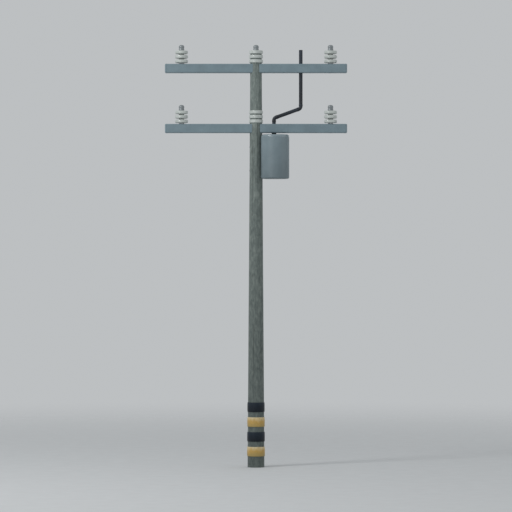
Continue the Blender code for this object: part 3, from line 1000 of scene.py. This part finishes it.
def make_tank_fittings():
    """On the can's back: a drain plug, a relief valve and an earth lug with its bolt."""
    low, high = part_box("transformer_tank")
    centre = middle("transformer_tank")
    radius = half_width("transformer_tank")
    # Each one's direction in degrees, its height and its width across the flats.
    drain = (74, low.z + 0.07, 0.028)
    valve = (62, high.z - 0.06, 0.024)
    lug = (88, low.z + 0.07, 0.020)
    shape = bmesh.new()
    for turn, z, across in (drain, valve, lug):
        out = outward_at(math.radians(turn))
        foot = Vector((centre.x, centre.y, z)) + out * (radius - DEEP_SINK)
        boss = across * BOSS_SHARE
        profile = [(boss, 0), (boss, BOSS_HEIGHT - BEVEL), (boss - BEVEL, BOSS_HEIGHT)]
        turned(shape, profile, 40, facing(foot, out))
        hex_bolt(shape, foot + out * BOSS_HEIGHT, out, across, washer=False)
    piece("tank_fittings", shape, ZINC)


def saddle(shape, centre, radius, heading, wide, low, high):
    """A curved pad on a round wall, at a heading in radians."""
    half = wide / 2 / radius
    foot = Vector((centre.x, centre.y, 0))
    root = radius - DEEP_SINK
    reach = radius + PAD_THICKNESS
    eased = reach - BEVEL
    corners = ((root, low), (eased, low), (reach, low + BEVEL))
    corners += ((reach, high - BEVEL), (eased, high), (root, high))
    rings = []
    for i in range(PAD_STEPS + 1):
        out = outward_at(heading - half + 2 * half * i / PAD_STEPS)
        rings.append([foot + out * r + UP * z for r, z in corners])
    loft(shape, rings)


def make_hangers():
    """Finishes the can's brackets, with pads on both walls and bolts through the pole."""
    can = middle("transformer_tank")
    can_radius = half_width("transformer_tank")
    toward = Vector((can.x, can.y, 0)).normalized()
    back = math.atan2(can.y, can.x) + math.pi
    pads = bmesh.new()
    bolts = bmesh.new()
    for level in LEVELS:
        node = "transformer_hanger_" + level
        low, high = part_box(node)
        z = (low.z + high.z) / 2
        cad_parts[node].data.materials[0] = ZINC
        foot = low.z - CAN_PAD_MARGIN
        saddle(pads, can, can_radius, back, CAN_PAD_WIDTH, foot, high.z + CAN_PAD_MARGIN)
        wall = pole_radius(z) - DEEP_SINK
        saddle(pads, Vector(), wall, back, POLE_PAD_WIDTH, z - POLE_PAD_HALF, z + POLE_PAD_HALF)
        seat = -toward * (wall + PAD_THICKNESS) + UP * z
        hex_bolt(bolts, seat, -toward, HANGER_BOLT, washer=False)
    piece("hanger_pads", pads, ZINC)
    piece("hanger_bolts", bolts, ZINC)


# ------------------------ the riser

BEND_RADIUS = 0.060
PIPE_STEPS = 48
BEND_STEPS = 12
COUPLING_LIP = 0.003
COUPLING_HALF = 0.020
PLUG_ROUNDING = 0.008
# A grommet's gap to the pipe, its neck's thickness and depth, and its lip's reach and rounding.
GROMMET_GAP = 0.0005
GROMMET_NECK = 0.0048
GROMMET_DEPTH = 0.007
GROMMET_REACH = 0.011
GROMMET_ROUNDING = 0.002


def ends_of(node):
    """The centres of a straight pipe's two ends, lowest first."""
    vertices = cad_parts[node].data.vertices
    points = {tuple(round(c, 5) for c in vertex.co) for vertex in vertices}
    extent = size(node)
    longest = max(range(3), key=lambda axis: extent[axis])
    halfway = middle(node)[longest]
    centres = []
    for beyond in (False, True):
        end = [Vector(point) for point in points if (point[longest] > halfway) == beyond]
        centres.append(sum(end, Vector()) / len(end))
    return sorted(centres, key=lambda centre: centre.z)


def pipe(name, route, radius, node):
    """A round pipe along points in the plane Y = 0."""
    rings = []
    for i, here in enumerate(route):
        before = route[max(i - 1, 0)]
        after = route[min(i + 1, len(route) - 1)]
        over = (after - before).normalized().cross(BACK)
        circle = full_turn(PIPE_STEPS)
        rings.append([here + radius * (BACK * math.cos(a) + over * math.sin(a)) for a in circle])
    shape = bmesh.new()
    loft(shape, rings)
    piece(name, shape, PIPE, [node])


def bend_route(start, way_in, stop, way_out):
    """Points of a bend between two straight pipes: a stub, an arc and a stub."""
    turn = way_in.angle(way_out)
    lean = way_out - way_in * way_in.dot(way_out)
    corner = stop - way_out * ((stop - start).dot(lean) / lean.length_squared)
    inward = lean.normalized()
    centre = corner - way_in * BEND_RADIUS * math.tan(turn / 2) + inward * BEND_RADIUS
    turns = [turn * i / BEND_STEPS for i in range(BEND_STEPS + 1)]
    curve = [centre + BEND_RADIUS * (way_in * math.sin(a) - inward * math.cos(a)) for a in turns]
    return [start, *curve, stop]


def make_riser():
    """Three straight pipes and two bends, with rings at their joints and a plugged end."""
    radius = half_width("riser_lower_run")
    ends = {name: ends_of(f"riser_{name}_run") for name in ("lower", "slanted", "upper")}
    for name, (start, stop) in ends.items():
        pipe("pipe_" + name, [start, stop], radius, f"riser_{name}_run")
    slant_foot, slant_head = ends["slanted"]
    slant = (slant_head - slant_foot).normalized()
    low_head = ends["lower"][1]
    high_foot = ends["upper"][0]
    pipe("bend_low", bend_route(low_head, UP, slant_foot, slant), radius, "riser_elbow_low")
    pipe("bend_high", bend_route(slant_head, slant, high_foot, UP), radius, "riser_elbow_high")
    joints = ((low_head, UP), (slant_foot, slant), (slant_head, slant), (high_foot, UP))
    make_couplings(radius, joints)
    make_pipe_plug(radius)


def make_couplings(radius, joints):
    """A coupling ring with eased edges at each joint of the pipe."""
    root = radius - DEEP_SINK
    lip = radius + COUPLING_LIP
    eased = lip - BEVEL
    half = COUPLING_HALF
    shoulder = half - 2 * BEVEL
    profile = [(root, -half), (eased, -half), (lip, -shoulder)]
    profile += [(lip, shoulder), (eased, half), (root, half)]
    rings = bmesh.new()
    for joint, way in joints:
        turned(rings, profile, 56, facing(joint, way), joined=True)
    piece("pipe_couplings", rings, PIPE)


def make_pipe_plug(radius):
    """The rounded plug in the pipe's open end."""
    low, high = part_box("riser_cap")
    rim = arc((radius - PLUG_ROUNDING, high.z - PLUG_ROUNDING), PLUG_ROUNDING, 0, 90, 8)
    plug = bmesh.new()
    profile = [(radius, low.z), *rim, (radius * 0.2, high.z)]
    turned(plug, profile, 64, at(middle("riser_cap").x, 0))
    piece("pipe_plug", plug, PIPE, ["riser_cap"])


def make_grommets():
    """Rubber rings where the riser passes through the arms' tops and undersides."""
    shape = bmesh.new()
    for level, run in (("lower", "riser_lower_run"), ("upper", "riser_upper_run")):
        bore = half_width(run) + GROMMET_GAP
        low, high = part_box(f"{level}_arm_right")
        neck = bore + GROMMET_NECK
        reach = bore + GROMMET_REACH
        lip = arc((reach - GROMMET_ROUNDING, SINK), GROMMET_ROUNDING, 0, 90, 4)
        profile = [(bore, -GROMMET_DEPTH), (neck, -GROMMET_DEPTH), (neck, 0.0), (reach, 0.0)]
        profile += [*lip, (bore, SINK + GROMMET_ROUNDING)]
        for z, way in ((high.z, UP), (low.z, -UP)):
            turned(shape, profile, 56, facing((middle(run).x, 0, z), way), joined=True)
    piece("riser_grommets", shape, RUBBER)


# ------------------------ making the object

make_pole()
for sleeve in ("yellow_low", "black_low", "yellow_high", "black_high"):
    shade = sleeve.split("_")[0]
    make_sleeve(sleeve, {"yellow": YELLOW, "black": BLACK}[shade])
for arm_level in LEVELS:
    for arm_side in SIDES:
        make_beam(arm_level, arm_side)
        make_end_plate(arm_level, arm_side)
        make_access_cover(arm_level, arm_side)
        make_arm_plug(arm_level, arm_side)
        make_insulator(arm_level, arm_side)
make_collar("pole_cap_disc", "crown_disc")
make_cap("crown_cap", "pole_top_knob")
for arm_level, discs in (("upper", 2), ("lower", 3)):
    for disc in range(1, discs + 1):
        make_collar(f"{arm_level}_collar_{disc}", f"{arm_level}_ring_{disc}")
make_tank()
make_lid()
make_gland()
make_tank_fittings()
make_hangers()
make_riser()
make_grommets()

# ------------------------ studio

CENTRE = (CAD_BOX[0] + CAD_BOX[1]) / 2
HEIGHT = CAD_BOX[1].z - CAD_BOX[0].z
FILL = 0.8242
LENS = 200.0
SENSOR = 36.0
FAR_CLIP = 500
LIGHT_DISTANCE = 22
FLOOR_RADIUS = 60.0
FLOOR_DROP = 0.001
# The floor is solid near the pole, and has melted away at the second distance.
FLOOR_FADE = (3.0, FLOOR_RADIUS * 0.45)


def make_floor():
    """A pale studio floor that melts into the background a few metres from the pole."""
    made, tree, place = new_material("studio_floor")
    grain = add(tree, "TexNoise", {"Vector": place, "Scale": 3.0, "Detail": 3.0})
    colour = add(tree, "ValToRGB", {"Fac": grain}, [(0.3, "#CACCCD"), (0.7, "#CED0D1")])
    wire(tree, tree.nodes["Principled BSDF"], {"Base Color": colour, "Roughness": 0.9})
    away = add(tree, "VectorMath", {0: place}, operation="LENGTH").outputs["Value"]
    spread = {"Value": away, "From Min": FLOOR_FADE[0], "From Max": FLOOR_FADE[1]}
    fade = add(tree, "MapRange", spread, interpolation_type="SMOOTHSTEP")
    clear = add(tree, "BsdfTransparent")
    solid = tree.nodes["Principled BSDF"].outputs["BSDF"]
    mixed = add(tree, "MixShader", {0: fade, 1: solid, 2: clear})
    wire(tree, tree.nodes["Material Output"], {"Surface": mixed})
    shape = bmesh.new()
    bmesh.ops.create_circle(shape, cap_ends=True, segments=96, radius=FLOOR_RADIUS)
    mesh = new_mesh("floor", shape)
    mesh.materials.append(made)
    floor = linked("floor", mesh)
    floor.location.z = -FLOOR_DROP


def make_light(name, azimuth, elevation, side, power):
    """A soft square light that faces the middle of the pole. Azimuth 0 is in front of it."""
    turn = math.radians(azimuth)
    rise = math.radians(elevation)
    level = math.cos(rise)
    toward = Vector((math.sin(turn) * level, -math.cos(turn) * level, math.sin(rise)))
    data = bpy.data.lights.new(name, "AREA")
    data.shape = "SQUARE"
    data.size = side
    data.energy = power
    lamp = linked(name, data)
    lamp.location = CENTRE + toward * LIGHT_DISTANCE
    lamp.rotation_euler = (-toward).to_track_quat("-Z", "Y").to_euler()


def make_studio():
    """A pale surround, the floor and three soft lights."""
    world = bpy.data.worlds.new("studio")
    world.use_nodes = True
    backdrop = world.node_tree.nodes["Background"]
    wire(world.node_tree, backdrop, {"Color": "#C8CBCD", "Strength": 0.88})
    bpy.context.scene.world = world
    make_floor()
    make_light("key", azimuth=-54, elevation=42, side=4, power=1500)
    make_light("fill", azimuth=-34, elevation=7, side=12, power=520)
    make_light("edge", azimuth=72, elevation=10, side=12, power=260)


def make_camera():
    """A long lens, level with the pole's middle and square to the crossarms."""
    data = bpy.data.cameras.new("camera")
    data.lens = LENS
    data.sensor_width = SENSOR
    data.clip_end = FAR_CLIP
    camera = linked("camera", data)
    distance = HEIGHT / FILL * LENS / SENSOR
    camera.location = (0, -distance, CENTRE.z)
    camera.rotation_euler = (math.pi / 2, 0, 0)
    bpy.context.scene.camera = camera


make_studio()
make_camera()
bpy.context.scene.view_settings.view_transform = "Standard"
